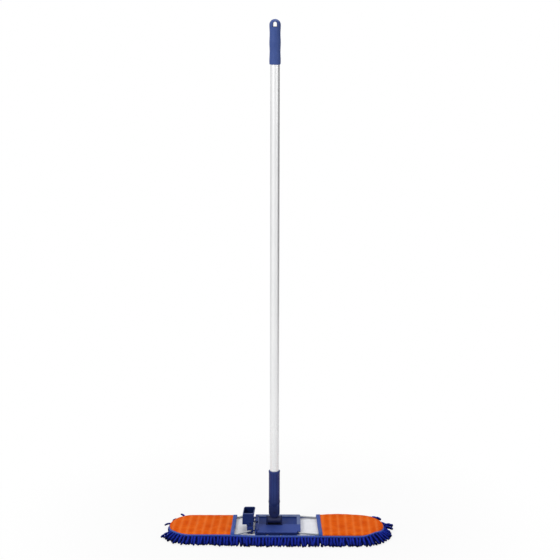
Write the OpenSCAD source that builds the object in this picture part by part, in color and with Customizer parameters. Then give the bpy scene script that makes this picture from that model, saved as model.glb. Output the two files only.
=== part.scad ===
// Flat dust mop: a wire-framed chenille cover on a folding head, with a universal joint and a tube pole.
// Millimetres, +Z up. The origin is on the floor under the middle of the cover, with the front at -Y.

/* [Pole] */
// Outer diameter of the tube
pole_d = 25; // [20:0.5:28]
// Wall of the tube
pole_wall = 1.2; // [0.8:0.1:2.5]
// Length of the tube
pole_len = 1299; // [600:1:1800]

/* [Grip] */
// Length of the grip
grip_len = 117; // [100:1:160]
// Diameter over the grip's swells
grip_d = 30; // [29:0.5:38]
// How much each waist is drawn in, on the radius
grip_waist = 0.8; // [0.2:0.1:1.2]
// Length of the tube inside the grip
grip_cover = 81.5; // [50:0.5:82]
// Height of the lowest swell above the grip's end
grip_first = 10; // [5:1:20]
// Width of the hanging hole
hang_w = 12.5; // [8:0.5:16]
// Height of the hanging hole
hang_h = 13.7; // [9:0.1:15]
// Plastic left above the hanging hole
hang_roof = 6.3; // [4:0.1:9]

/* [Socket] */
// Outer diameter of the socket
socket_d = 31; // [29:0.5:40]
// Length of the socket that holds the tube
socket_seat = 90; // [60:1:140]
// Solid floor between the tube and the fork
socket_floor = 20; // [12:1:30]
// Height of the bead round the socket's mouth
rim_h = 5; // [2:0.5:10]
// How far that bead stands proud
rim_proud = 0.5; // [0.2:0.1:1.5]
// Diameter of the screw that holds the tube
screw_d = 3.5; // [2.5:0.1:4.5]
// Distance of that screw below the socket's mouth
screw_down = 22; // [10:1:40]

/* [Universal joint] */
// Height of the lower axis above the plate's rim
lower_rise = 10.5; // [10:0.5:16]
// Distance between the two axes
axis_spread = 25; // [24:0.5:34]
// Diameter of the barrel
barrel_d = 21; // [16:0.5:22]
// Length of the barrel
barrel_len = 36; // [28:1:44]
// Thickness of the two ears on the plate
ear_t = 4; // [3:0.5:6]
// Width of the ears at their foot
ear_w = 26; // [22:1:34]
// Diameter of the two joint pins
pin_d = 6; // [4:0.5:8]
// Thickness of the tongue
tongue_t = 12; // [8:0.5:14]
// Width of the tongue
tongue_w = 22; // [16:0.5:24]
// Thickness of each fork cheek
cheek_t = 6.2; // [4:0.2:8]
// Width of the fork
fork_w = 29; // [24:0.5:30]

/* [Centre plate] */
// Distance from the middle of the cover to the pole's axis
joint_off = 6.5; // [0:0.5:12]
// Plate's reach to the left of the pole's axis
plate_left = 53.5; // [50:0.5:62]
// Plate's reach to the right of the pole's axis
plate_right = 74; // [64:0.5:84]
// Gap between the plate and the binding, front and back
plate_gap = 5; // [3.5:0.5:7]
// Height of the plate's rim
plate_h = 11.2; // [10:0.2:14]
// How far the plate's front edge slopes down
plate_slope = 2.4; // [1:0.1:3]
// Thickness of the plate's walls and skin
plate_wall = 2.2; // [1.6:0.1:2.6]
// Depth of the sunk panel round the joint
panel_sink = 2.5; // [1:0.1:2.6]
// Thickness of the ribs under the plate
rib_t = 1.8; // [1:0.1:3]
// Number of rib cells each way under the plate
cells = 5; // [3:1:7]

/* [Fold hinge] */
// Gap between the plate and the hinge bar
fold_gap = 6; // [5:0.5:9]
// Distance of the fold axis inside the plate's edge
fold_inset = 5; // [4.6:0.1:7]
// Height of the fold axis above the plate's underside
fold_rise = 7.2; // [6:0.1:8]
// Diameter of the two fold pins
fold_pin_d = 4; // [3:0.5:5]
// Length of each fold pin
fold_pin_len = 22; // [18:0.5:24]
// Distance of each hinge lug from the bar's end
lug_inset = 9; // [7:0.5:14]
// Width of each hinge lug
lug_w = 10; // [6:0.5:12]
// Radius of the round end of each lug
lug_r = 4.5; // [4:0.1:5]
// Width of the hinge bar
bar_w = 16.5; // [14:0.5:22]
// Height of the hinge bar's top above the plate's underside
bar_top = 22.7; // [20:0.1:26]
// Clearance under the hinge bar
bar_lift = 2.7; // [1:0.1:4]

/* [Release pedal] */
// Width of the pedal
pedal_w = 29; // [24:0.5:34]
// Distance of the pedal's front foot from the bar's end
pedal_inset = 0; // [0:0.5:12]
// Place of the pedal's back wall, behind the middle
pedal_back = 13; // [11:0.5:24]
// Height of the pedal
pedal_h = 29.5; // [20:0.5:40]
// Gap between the hinge bar and the pedal's lower edge
pedal_lift = 2.5; // [2.3:0.1:4]
// How far the pedal's front wall leans back over its height
pedal_lean = 16; // [4:1:20]
// Wall of the pedal
pedal_wall = 2.2; // [1.6:0.1:2.6]
// Height of the pedal's left end above its lower edge
overhang_up = 4.5; // [3:0.1:6]
// Diameter of the pedal's pin
pedal_pin_d = 4; // [3:0.1:4.4]
// Height of the pedal's pin above its lower edge
pedal_pin_up = 4.5; // [4.4:0.1:6]
// Width of the hook
hook_w = 10; // [6:0.5:12]
// Place of the hook behind the middle
hook_y = 6; // [3:0.5:7]
// How far the hook drops behind its sill
hook_bite = 1.5; // [0.8:0.1:1.7]
// Thickness of the hook
hook_t = 2.5; // [1.8:0.1:2.7]
// Gap between the hook and the top of its sill
hook_gap = 0.8; // [0.7:0.1:1.2]
// How far the sill lies below the plate's rim
sill_drop = 1.5; // [1:0.1:1.8]
// Wire of the pedal's spring
spring_wire = 0.9; // [0.6:0.1:1]
// Full turns of the pedal's spring
spring_turns = 5; // [3:1:6]
// Rise of the spring's wire in one turn
spring_pitch = 1.4; // [1.2:0.1:1.7]

/* [Wire loops] */
// Diameter of the wire
wire_d = 5; // [3:0.5:5.4]
// Clearance between the loops and the binding
loop_gap = 4.5; // [3:0.5:8]
// Radius of the bend at each end of a loop
wire_bend = 6; // [5:0.5:10]
// How far each end goes into its hole
wire_in = 12; // [8:1:16]
// Where the wire bends in, from the end of its seat
wire_inset = 5; // [4:0.5:6]

/* [Cover] */
// Length of the cover over its binding
cover_len = 610; // [520:5:700]
// Width of the cover over its binding
cover_w = 140; // [138:1:150]
// Width of the binding's edge
binding_w = 4; // [2:0.5:5]
// Thickness of the backing
backing_t = 3; // [2:0.5:5]
// Height of the backing's underside above the floor
backing_z = 12; // [11:0.5:20]
// Room between the wire and the pocket's mesh
pocket_ease = 0.6; // [0.3:0.1:2]
// Thickness of the pocket mesh
mesh_t = 1.2; // [0.8:0.1:2]
// Open backing between the hinge bar and the pocket's mouth
mouth_gap = 30.5; // [12:0.5:60]
// How much shorter the pocket is at the front edge
pocket_skew = 4.5; // [0:0.5:8]
// Width of the tape along the pocket's mouth
tape_w = 11; // [6:0.5:14]
// Thickness of the binding and tape past what they wrap
tape_t = 0.6; // [0.3:0.1:1.2]

/* [Chenille] */
// Width of each strand
strand_w = 5; // [3:0.1:5.2]
// Thickness of each strand
strand_t = 4.4; // [3:0.1:5]
// Distance from strand to strand along the edge
strand_pitch = 12.2; // [11:0.1:16]
// How far the outer strands reach past the binding
strand_reach = 26; // [16:1:30]
// Thickness of the pile's woven base
pile_t = 2.5; // [1.5:0.1:4]
// Rows of standing tufts under the cover
tuft_rows = 5; // [3:1:6]
// Distance from tuft to tuft along a row
tuft_pitch = 28; // [22:1:40]

/* [Clearances] */
// Radial clearance of pins, bores and seats
run_gap = 0.05; // [0.02:0.01:0.1]
// Gap between faces that lie against each other
seat_gap = 0.3; // [0.2:0.05:0.6]
// Gap between faces that turn past each other
side_gap = 0.4; // [0.3:0.05:0.8]

/* [Hidden] */
$fn = 48;

plastic_blue = [0.22, 0.28, 0.55];
plastic_dark = [0.10, 0.12, 0.30];
tape_blue = [0.25, 0.37, 0.69];
steel = [0.62, 0.63, 0.65];

// Heights from the floor up
backing_top = backing_z + backing_t;
plate_z0 = backing_top + seat_gap;
plate_z1 = plate_z0 + plate_h;
fold_z = plate_z0 + fold_rise;
bar_z0 = plate_z0 + bar_lift;
bar_z1 = plate_z0 + bar_top;
lower_z = plate_z1 + lower_rise;
upper_z = lower_z + axis_spread;
slot_roof = upper_z + tongue_w / 2 + 1;
tube_z0 = slot_roof + socket_floor;
mouth_z = tube_z0 + socket_seat;
tube_z1 = tube_z0 + pole_len;
grip_z0 = tube_z1 - grip_cover;
grip_z1 = grip_z0 + grip_len;
wire_z = backing_top + seat_gap + wire_d / 2;

// Places along the head
joint_x = -joint_off;
plate_x0 = joint_x - plate_left;
plate_x1 = joint_x + plate_right;
fold_x = plate_x0 + fold_inset;
bar_x1 = plate_x0 - fold_gap;
bar_x0 = bar_x1 - bar_w;
fork_y = tongue_t / 2 + seat_gap + cheek_t;

// The cover's own middle lines
end_x = (cover_len - cover_w) / 2;
half_w = cover_w / 2;
inner_w = half_w - binding_w;
mouth_x = mouth_gap - bar_x0;
loop_r = inner_w - loop_gap - wire_d / 2;
bar_half = loop_r - wire_bend;
lug_y = bar_half - lug_inset;
pedal_front = bar_half - pedal_inset;
strip_x0 = bar_x0 - 3;
strip_x1 = fold_x + plate_z0 - backing_z + fold_rise;
arc_steps = 16;
far = cover_len;

// A rod of a given diameter along X, Y or Z
module rod_x(d, x0, x1) { translate([x0, 0, 0]) rotate([0, 90, 0]) cylinder(d = d, h = x1 - x0); }
module rod_y(d, y0, y1) { translate([0, y1, 0]) rotate([90, 0, 0]) cylinder(d = d, h = y1 - y0); }

// A flat outline in the X-Z plane made thick from y0 to y1, and one in the Y-Z plane from x0 to x1
module across_y(y0, y1) { rotate([90, 0, 0]) translate([0, 0, -y1]) linear_extrude(y1 - y0) children(); }
module across_x(x0, x1) { rotate([90, 0, 90]) translate([0, 0, x0]) linear_extrude(x1 - x0) children(); }

// A box between two corners
module box(a, b) { translate(a) cube(b - a); }

// Outline of the cover at a distance w from its middle line, with round ends
function stadium(w) = [for (side = [1, -1], i = [0:arc_steps])
    let (a = -90 + 180 * i / arc_steps) [side * (end_x + w * cos(a)), side * w * sin(a)]];

// A rectangle with round corners, between two corners
function rounded(a, b, r) = [for (k = [0:3], i = [0:4])
    let (t = 90 * k + 22.5 * i, sx = (k == 0 || k == 3), sy = (k < 2))
    [(sx ? b[0] - r : a[0] + r) + r * cos(t), (sy ? b[1] - r : a[1] + r) + r * sin(t)]];

// A round bar swept along points, none of which run along the axis given
function unit(v) = v / norm(v);
function ring_at(p, t, r, n, axis) = let (s = unit(cross(t, axis)), u = cross(s, t))
    [for (k = [0:n - 1]) p + r * (cos(360 * k / n) * s + sin(360 * k / n) * u)];
function tangent(p, i) = unit(p[min(i + 1, len(p) - 1)] - p[max(i - 1, 0)]);
function side_faces(rows, n) = [for (i = [0:rows - 2], k = [0:n - 1], h = [0, 1])
    let (a = i * n + k, b = i * n + (k + 1) % n) h == 0 ? [a, b, b + n] : [a, b + n, a + n]];
function cap_faces(rows, n) = [for (k = [1:n - 2], e = [0, 1])
    e == 0 ? [0, k + 1, k] : let (o = (rows - 1) * n) [o, o + k, o + k + 1]];
module sweep(p, r, n, axis) {
    points = [for (i = [0:len(p) - 1]) each ring_at(p[i], tangent(p, i), r, n, axis)];
    polyhedron(points, concat(side_faces(len(p), n), cap_faces(len(p), n)));
}

// Wire loop: in from its seat, round a bend, down to the pocket, round the end and back the same way
function half_loop(side, seat_x, seat_z) = concat(
    [[seat_x, -bar_half + wire_in, seat_z]],
    [for (i = [0:5]) let (a = 18 * i)
        [seat_x + side * wire_bend * (1 - cos(a)), -bar_half - wire_bend * sin(a), seat_z]],
    [[side * (mouth_x - wire_d), -loop_r, wire_z]],
    [for (i = [0:10]) let (a = -90 + 9 * i) [side * (end_x + loop_r * cos(a)), loop_r * sin(a), wire_z]]);
function mirrored(p) = [for (i = [len(p) - 2:-1:0]) [p[i][0], -p[i][1], p[i][2]]];
module wire_loop(side, seat_x, seat_z) {
    half = half_loop(side, seat_x, seat_z);
    sweep(concat(half, mirrored(half)), wire_d / 2, 12, [0, 0, 1]);
}
left_seat_x = bar_x1 - wire_inset;
left_seat_z = fold_z + lug_r;
right_seat_x = plate_x1 - wire_inset;
right_seat_z = plate_z0 + plate_h / 2;
module wire_hole(x, z) {
    for (s = [-1, 1]) translate([x, 0, z]) mirror([0, s > 0 ? 1 : 0, 0])
        rod_y(wire_d + 2 * run_gap, -bar_half - wire_d, -bar_half + wire_in + side_gap);
}

// Plate: sloping front, sunk panel, ribs below, ears for the joint, sill for the pedal's hook
plate_half = inner_w - plate_gap;
panel_front = -barrel_d / 2 + 0.5;
panel_back = plate_half - 16;
border = 10;
ear_x0 = barrel_len / 2 + side_gap;
module ear_outline() {
    translate([0, lower_z]) circle(d = barrel_d + 1);
    polygon([[-ear_w / 2, plate_z1 - panel_sink - plate_wall / 2], [ear_w / 2, plate_z1 - panel_sink - plate_wall / 2],
        [barrel_d / 2, lower_z], [-barrel_d / 2, lower_z]]);
}
sill_z = plate_z1 - sill_drop;
sill_x = plate_x0 + plate_wall;
module hook_room() {
    y0 = hook_y - hook_w / 2 - 2;
    y1 = hook_y + hook_w / 2 + 2;
    box([plate_x0 - 1, y0, sill_z], [sill_x + 1, y1, plate_z1 + 1]);
    box([sill_x, y0, sill_z - hook_bite - 1.5], [sill_x + hook_t + 3.5, y1, plate_z1 + 1]);
}
module rib_cells() {
    a = [fold_x + 12, -plate_half + plate_wall];
    b = [plate_x1 - 12, plate_half - plate_wall];
    size = (b - a - (cells - 1) * [rib_t, rib_t]) / cells;
    for (i = [0:cells - 1], j = [0:cells - 1])
        translate([a[0] + i * (size[0] + rib_t), a[1] + j * (size[1] + rib_t), plate_z0 - 1])
            cube([size[0], size[1], 1 + plate_h - panel_sink - plate_wall]);
}
module centre_plate() color(plastic_blue) difference() {
    union() {
        intersection() {
            across_x(plate_x0, plate_x1) polygon([[-plate_half, plate_z0], [plate_half, plate_z0],
                [plate_half, plate_z1 - 1], [plate_half - 1, plate_z1], [panel_front - 1, plate_z1],
                [-plate_half + 1, plate_z1 - plate_slope], [-plate_half, plate_z1 - plate_slope - 1]]);
            linear_extrude(plate_z1 + 1) polygon(rounded([plate_x0, -plate_half], [plate_x1, plate_half], 4));
        }
        for (s = [0, 1]) translate([joint_x, 0, 0]) mirror([s, 0, 0]) across_x(ear_x0, ear_x0 + ear_t) ear_outline();
    }
    difference() {
        box([plate_x0 + border, panel_front, plate_z1 - panel_sink], [plate_x1 - border, panel_back, plate_z1 + 0.1]);
        for (s = [0, 1]) translate([joint_x, 0, 0]) mirror([s, 0, 0]) across_x(ear_x0, ear_x0 + ear_t) ear_outline();
    }
    rib_cells();
    for (s = [-1, 1]) {
        box([plate_x0 - 1, s * lug_y - lug_w / 2 - side_gap, plate_z0 - 1],
            [fold_x + lug_r + side_gap, s * lug_y + lug_w / 2 + side_gap, plate_z1 + 1]);
        box([plate_x1 - 2 * wire_inset, s > 0 ? bar_half : -plate_half - 1, plate_z0 - 1],
            [plate_x1 + 1, s > 0 ? plate_half + 1 : -bar_half, plate_z1 + 1]);
        translate([joint_x + s * 19 - 4, -plate_half - 1, plate_z0 - 1]) cube([8, plate_wall + 1.5, 4]);
        translate([fold_x, 0, fold_z]) mirror([0, s > 0 ? 1 : 0, 0])
            rod_y(fold_pin_d + 2 * run_gap, -plate_half - 1, -lug_y + fold_pin_len / 2 + side_gap);
    }
    hook_room();
    wire_hole(right_seat_x, right_seat_z);
    translate([joint_x, 0, lower_z]) rod_x(pin_d + 2 * run_gap, -ear_x0 - ear_t - 1, ear_x0 + ear_t + 1);
}
module fold_pins() color(steel) for (s = [-1, 1]) translate([fold_x, s * lug_y, fold_z])
    rod_y(fold_pin_d, -fold_pin_len / 2, fold_pin_len / 2);
module joint_pin() color(steel) translate([joint_x, 0, lower_z]) rod_x(pin_d, -ear_x0 - ear_t, ear_x0 + ear_t);
module right_wire() color(steel) wire_loop(1, right_seat_x, right_seat_z);

// Hinge bar on the folding wing, with two lugs, two feet and two ears for the pedal's pin
pedal_z0 = bar_z1 + pedal_lift;
pedal_z1 = pedal_z0 + pedal_h;
pedal_x1 = bar_x1 - 0.5;
pedal_x0 = pedal_x1 - pedal_w;
pivot_x = pedal_x1 - pedal_wall - pedal_pin_d / 2 - 3.6;
pivot_z = pedal_z0 + pedal_pin_up;
pedal_ears = [-26, 4];
pedal_ear_t = 8;
pedal_ear_r = pedal_pin_d / 2 + 2.4;
module hinge_bar() color(plastic_blue) difference() {
    union() {
        across_y(-bar_half, bar_half) polygon([[bar_x0, bar_z0], [bar_x1, bar_z0], [bar_x1, bar_z1 - 1.5],
            [bar_x1 - 1.5, bar_z1], [bar_x0 + 1.5, bar_z1], [bar_x0, bar_z1 - 1.5]]);
        for (s = [-1, 1]) {
            across_y(s * lug_y - lug_w / 2, s * lug_y + lug_w / 2) {
                translate([fold_x, fold_z]) circle(r = lug_r);
                translate([bar_x1 - 1, fold_z - lug_r]) square([fold_x - bar_x1 + 1, 2 * lug_r]);
            }
            translate([bar_x1 - 3, s * (bar_half - 2.5), plate_z0]) cylinder(d = 4, h = bar_lift + 1);
        }
        for (y = pedal_ears) across_y(y - pedal_ear_t / 2, y + pedal_ear_t / 2) {
            translate([pivot_x, pivot_z]) circle(r = pedal_ear_r);
            translate([pivot_x - pedal_ear_r, bar_z1 - 1]) square([2 * pedal_ear_r, pivot_z - bar_z1 + 1]);
        }
    }
    translate([fold_x, 0, fold_z]) rod_y(fold_pin_d + 2 * run_gap, -bar_half, bar_half);
    translate([pivot_x, 0, pivot_z]) rod_y(pedal_pin_d + 2 * run_gap, -pedal_front, pedal_back);
    wire_hole(left_seat_x, left_seat_z);
    box([bar_x0 + plate_wall, -lug_y + lug_w, bar_z0 - 1],
        [bar_x1 - plate_wall, lug_y - lug_w, bar_z1 - plate_wall]);
}
module left_wire() color(steel) wire_loop(-1, left_seat_x, left_seat_z);
module pedal_pin() color(steel) translate([pivot_x, 0, pivot_z])
    rod_y(pedal_pin_d, front_at(pivot_z) + 1, pedal_back - 0.2);

// Pedal: an open-topped box with a leaning front, over its pin, and a hook down its right side
function front_at(z) = -pedal_front + pedal_lean * (z - pedal_z0) / pedal_h;
lean_wall = pedal_wall * norm([1, pedal_lean / pedal_h]);
module pedal_side(inset, wall, over) {
    polygon([[front_at(pedal_z0 - over) + inset, pedal_z0 - over], [front_at(pedal_z1 + over) + inset, pedal_z1 + over],
        [pedal_back - wall, pedal_z1 + over], [pedal_back - wall, pedal_z0 - over]]);
}
floor_z = pivot_z + pedal_ear_r + 0.8;
hook_z = sill_z + hook_gap;
leg_x = bar_x1 + side_gap;
tooth_x = sill_x + seat_gap;
module pedal_hook() {
    y0 = hook_y - hook_w / 2;
    y1 = hook_y + hook_w / 2;
    box([pedal_x1 - pedal_wall, y0, pedal_z0 + 0.5], [leg_x + hook_t, y1, pivot_z + hook_t]);
    box([leg_x, y0, hook_z], [leg_x + hook_t, y1, pivot_z + hook_t]);
    box([leg_x, y0, hook_z], [tooth_x + hook_t, y1, hook_z + hook_t]);
    box([tooth_x, y0, sill_z - hook_bite], [tooth_x + hook_t, y1, hook_z + hook_t]);
}
module release_pedal() color(plastic_dark) difference() {
    union() {
        difference() {
            across_x(pedal_x0, pedal_x1) pedal_side(0, 0, 0);
            across_x(pedal_x0 + pedal_wall, pedal_x1 - pedal_wall) pedal_side(lean_wall, pedal_wall, 1);
        }
        box([pedal_x0 + 0.5, front_at(floor_z) + lean_wall / 2, floor_z],
            [pedal_x1 - 0.5, pedal_back - pedal_wall / 2, floor_z + pedal_wall]);
        pedal_hook();
    }
    box([pedal_x0 - 1, -pedal_front - 1, pedal_z0 - 1], [bar_x0 - 1, pedal_back + 1, pedal_z0 + overhang_up]);
    translate([pivot_x, 0, pivot_z]) rod_y(pedal_pin_d + 2 * run_gap, -pedal_front, pedal_back + 1);
}

// Spring round the pedal's pin: one leg on the bar, some turns, one leg under the pedal's floor
spring_r = pedal_pin_d / 2 + spring_wire;
foot = [-spring_r - 3.5, bar_z1 + spring_wire / 2 + seat_gap - pivot_z];
push = [-spring_r - 4, floor_z - spring_wire / 2 - seat_gap - pivot_z];
foot_turn = atan2(foot[1], foot[0]) + acos(spring_r / norm(foot));
push_turn = atan2(push[1], push[0]) - acos(spring_r / norm(push));
whole = (push_turn - foot_turn) % 360 + 360 * spring_turns;
spring_steps = 10 * spring_turns;
spring_y0 = (pedal_ears[0] + pedal_ears[1]) / 2 - spring_pitch * spring_turns / 2;
function spring_at(p, part) = [pivot_x + p[0], spring_y0 + spring_pitch * whole / 360 * part, pivot_z + p[1]];
spring_route = concat([spring_at(foot, 0)],
    [for (i = [0:spring_steps]) let (a = foot_turn + whole * i / spring_steps)
        spring_at(spring_r * [cos(a), sin(a)], i / spring_steps)], [spring_at(push, 1)]);
module pedal_spring() color(steel) sweep(spring_route, spring_wire / 2, 6, [0, 1, 0]);

// Universal joint: barrel and tongue on one piece, fork on the socket
module swivel() color(plastic_dark) translate([joint_x, 0, 0]) difference() {
    union() {
        translate([0, 0, lower_z]) rod_x(barrel_d, -barrel_len / 2, barrel_len / 2);
        across_y(-tongue_t / 2, tongue_t / 2) {
            translate([0, upper_z]) circle(d = tongue_w);
            translate([-tongue_w / 2, lower_z]) square([tongue_w, axis_spread]);
        }
    }
    translate([0, 0, lower_z]) rod_x(pin_d + 2 * run_gap, -barrel_len, barrel_len);
    translate([0, 0, upper_z]) rod_y(pin_d + 2 * run_gap, -tongue_t, tongue_t);
}
module cross_pin() color(steel) translate([joint_x, 0, upper_z]) rod_y(pin_d, -fork_y + 0.4, fork_y - 0.4);
screw_z = mouth_z - screw_down;
bore_d = pole_d + 2 * run_gap;
screw_face = socket_d / 2 - 0.8;
module pole_socket() color(plastic_dark) translate([joint_x, 0, 0]) difference() {
    union() {
        rotate_extrude() polygon([[0, slot_roof + 4], [fork_y, slot_roof + 4], [socket_d / 2, tube_z0 - 4],
            [socket_d / 2, mouth_z - rim_h - 1], [socket_d / 2 + rim_proud, mouth_z - rim_h],
            [socket_d / 2 + rim_proud, mouth_z - 0.8], [socket_d / 2 - 0.5, mouth_z], [0, mouth_z]]);
        across_y(-fork_y, fork_y) {
            translate([0, upper_z]) circle(d = fork_w);
            translate([-fork_w / 2, upper_z]) square([fork_w, tube_z0 - 6 - upper_z]);
        }
    }
    box([-socket_d, -tongue_t / 2 - seat_gap, lower_z], [socket_d, tongue_t / 2 + seat_gap, slot_roof]);
    translate([0, 0, tube_z0]) cylinder(d = bore_d, h = socket_seat + 1);
    translate([0, 0, upper_z]) rod_y(pin_d + 2 * run_gap, -fork_y - 1, fork_y + 1);
    translate([0, 0, screw_z]) rod_y(screw_d + 2 * run_gap, 0, socket_d);
    translate([0, 0, screw_z]) rod_y(2 * screw_d + 1, screw_face, socket_d);
}
module pole_screw() color(steel) translate([joint_x, 0, screw_z]) {
    rod_y(screw_d, pole_d / 2 - pole_wall - 2, screw_face + 1);
    rod_y(2 * screw_d, screw_face, screw_face + screw_d * 0.6);
}
module pole_tube() color([0.86, 0.87, 0.88]) translate([joint_x, 0, 0]) difference() {
    translate([0, 0, tube_z0]) cylinder(d = pole_d, h = pole_len);
    translate([0, 0, tube_z0 - 1]) cylinder(d = pole_d - 2 * pole_wall, h = pole_len + 2);
    translate([0, 0, screw_z]) rod_y(screw_d + 2 * run_gap, 0, pole_d);
}

// Grip: swells and waists up to a round top, with an arched hanging hole
dome_z = grip_len - grip_d / 2;
swell_pitch = (dome_z - grip_first) / 2;
grip_steps = 24;
function grip_r(z) = grip_d / 2 - grip_waist * (1 - cos(360 * (z - grip_first) / swell_pitch)) / 2;
module grip_profile() polygon(concat([[0, 0], [grip_r(0) - 1, 0]],
    [for (i = [0:grip_steps]) let (z = 1 + (dome_z - 1) * i / grip_steps) [grip_r(z), z]],
    [for (i = [1:8]) let (a = 90 * i / 8) [grip_d / 2 * cos(a), dome_z + grip_d / 2 * sin(a)]]));
module hand_grip() color(plastic_blue) translate([joint_x, 0, grip_z0]) difference() {
    rotate_extrude() grip_profile();
    translate([0, 0, -1]) cylinder(d = bore_d, h = grip_cover + 1 + run_gap);
    across_y(-grip_d, grip_d) {
        translate([0, grip_len - hang_roof - hang_w / 2]) circle(d = hang_w);
        translate([-hang_w / 2, grip_len - hang_roof - hang_h]) square([hang_w, hang_h - hang_w / 2]);
    }
}

// The three stretches of the cover: the folding left end, the strip that bends, and the rest
function zone(name) = name == "left" ? [-far, strip_x0] : name == "fold" ? [strip_x0, strip_x1] : [strip_x1, far];
module in_zone(name) {
    z = zone(name);
    intersection() {
        children();
        translate([z[0], -far]) square([z[1] - z[0], 2 * far]);
    }
}
module backing(name) color([0.88, 0.88, 0.90]) translate([0, 0, backing_z]) linear_extrude(backing_t)
    in_zone(name) polygon(stadium(inner_w));
module edge_ring() difference() {
    polygon(stadium(half_w));
    polygon(stadium(inner_w));
}
// The pocket's part of the plan: beyond its slanting mouth, set back by a distance
module beyond_mouth(side, back) polygon([[side * (mouth_x + back + pocket_skew), -far], [side * far, -far],
    [side * far, far], [side * (mouth_x + back), far],
    [side * (mouth_x + back), half_w], [side * (mouth_x + back + pocket_skew), -half_w]]);
module binding(name) color(tape_blue) translate([0, 0, backing_z - tape_t])
    linear_extrude(backing_t + 2 * tape_t) in_zone(name) edge_ring();

// Pocket: a skin that rises from the edge, wraps over the wire and is flat inside the loop
function wrap(r, a) = [loop_r + r * cos(a), wire_z + r * sin(a)];
function dome_rows(skin, z) = let (r = wire_d / 2 + pocket_ease + skin)
    [[min(inner_w, inner_w - mesh_t + skin), z], wrap(r, 15), wrap(r, 52), wrap(r, 90)];
module dome(skin, z) {
    rows = dome_rows(skin, z);
    n = 2 * (arc_steps + 1);
    points = [for (row = rows) let (edge = stadium(row[0])) for (k = [n - 1:-1:0]) [edge[k][0], edge[k][1], row[1]]];
    polyhedron(points, concat(side_faces(len(rows), n), cap_faces(len(rows), n)));
}
module pocket_skin(side, from, to, skin) resize([0, 0, 0]) intersection() {
    difference() {
        dome(skin, backing_top);
        dome(0, backing_top - 1);
    }
    linear_extrude(far) difference() {
        beyond_mouth(side, from);
        beyond_mouth(side, to);
    }
}
module pocket(side) color([0.88, 0.37, 0.10]) pocket_skin(side, tape_w, far / 2, mesh_t);
module pocket_tape(side) color(tape_blue) pocket_skin(side, 0, tape_w, mesh_t + tape_t / 2);

// Chenille: strands that flare from under the edge to the floor, and tufts that stand under the cover
edge_len = 4 * end_x + 2 * PI * inner_w;
strands = floor(edge_len / strand_pitch);
// Place and outward direction at a distance along the edge's middle line
function edge_place(s) = let (run = 2 * end_x, turn = PI * inner_w, u = s % edge_len)
    u < run ? [[end_x - u, 0], [0, 1]]
    : u < run + turn ? let (a = 90 + 180 * (u - run) / turn) [[-end_x, 0], [cos(a), sin(a)]]
    : u < 2 * run + turn ? [[u - run - turn - end_x, 0], [0, -1]]
    : let (a = -90 + 180 * (u - 2 * run - turn) / turn) [[end_x, 0], [cos(a), sin(a)]];
module strand(place, path) {
    o = [place[1][0], place[1][1], 0];
    base = [place[0][0], place[0][1], 0];
    side = cross([0, 0, 1], o) * strand_w / 2;
    points = [for (i = [0:len(path) - 1])
        let (t = tangent(path, i), up = strand_t / 2 * (t[0] * [0, 0, 1] - t[1] * o),
            c = base + path[i][0] * o + [0, 0, path[i][1]])
        each [c + side - up, c - side - up, c - side + up, c + side + up]];
    polyhedron(points, concat(side_faces(len(path), 4), cap_faces(len(path), 4)));
}
pile_z = backing_z - pile_t;
tip_z = strand_t / 2;
outer_path = [[inner_w - 8, pile_z + 0.5], [half_w + strand_reach, tip_z]];
inner_path = [[inner_w - 18, pile_z + 0.4], [half_w + strand_reach * 0.4, tip_z]];
tufts = floor((cover_len - cover_w) / tuft_pitch);
module tuft_field() {
    row_gap = 2 * (inner_w - 24) / (tuft_rows - 1);
    for (i = [0:tufts], j = [0:tuft_rows - 1])
        translate([-tufts * tuft_pitch / 2 + i * tuft_pitch + (j % 2) * tuft_pitch / 2 - tuft_pitch / 4,
            -inner_w + 24 + j * row_gap, 0]) linear_extrude(pile_z + 0.5) square([strand_w, strand_t], center = true);
}
module chenille(name) color([0.13, 0.14, 0.60]) resize([0, 0, 0]) intersection() {
    union() {
        translate([0, 0, pile_z]) linear_extrude(pile_t) polygon(stadium(inner_w));
        for (i = [0:strands - 1]) {
            strand(edge_place(edge_len * i / strands), outer_path);
            strand(edge_place(edge_len * (i + 0.5) / strands), inner_path);
        }
        tuft_field();
    }
    box([zone(name)[0], -far, 0], [zone(name)[1], far, backing_z]);
}

centre_plate();
right_wire();
fold_pins();
joint_pin();
hinge_bar();
left_wire();
pedal_pin();
pedal_spring();
release_pedal();
swivel();
cross_pin();
pole_socket();
pole_tube();
pole_screw();
hand_grip();
backing("main");  // backing_main
backing("left");  // backing_left
backing("fold");  // backing_fold
binding("main");  // binding_main
binding("left");  // binding_left
binding("fold");  // binding_fold
pocket(1);  // right_pocket
pocket_tape(1);  // right_pocket_tape
pocket(-1);  // left_pocket
pocket_tape(-1);  // left_pocket_tape
chenille("main");  // chenille_main
chenille("left");  // chenille_left
chenille("fold");  // chenille_fold
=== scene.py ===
import bpy
import bmesh
import math
import numpy as np
from math import cos, pi, radians, sin
from mathutils import Matrix, Vector


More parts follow.
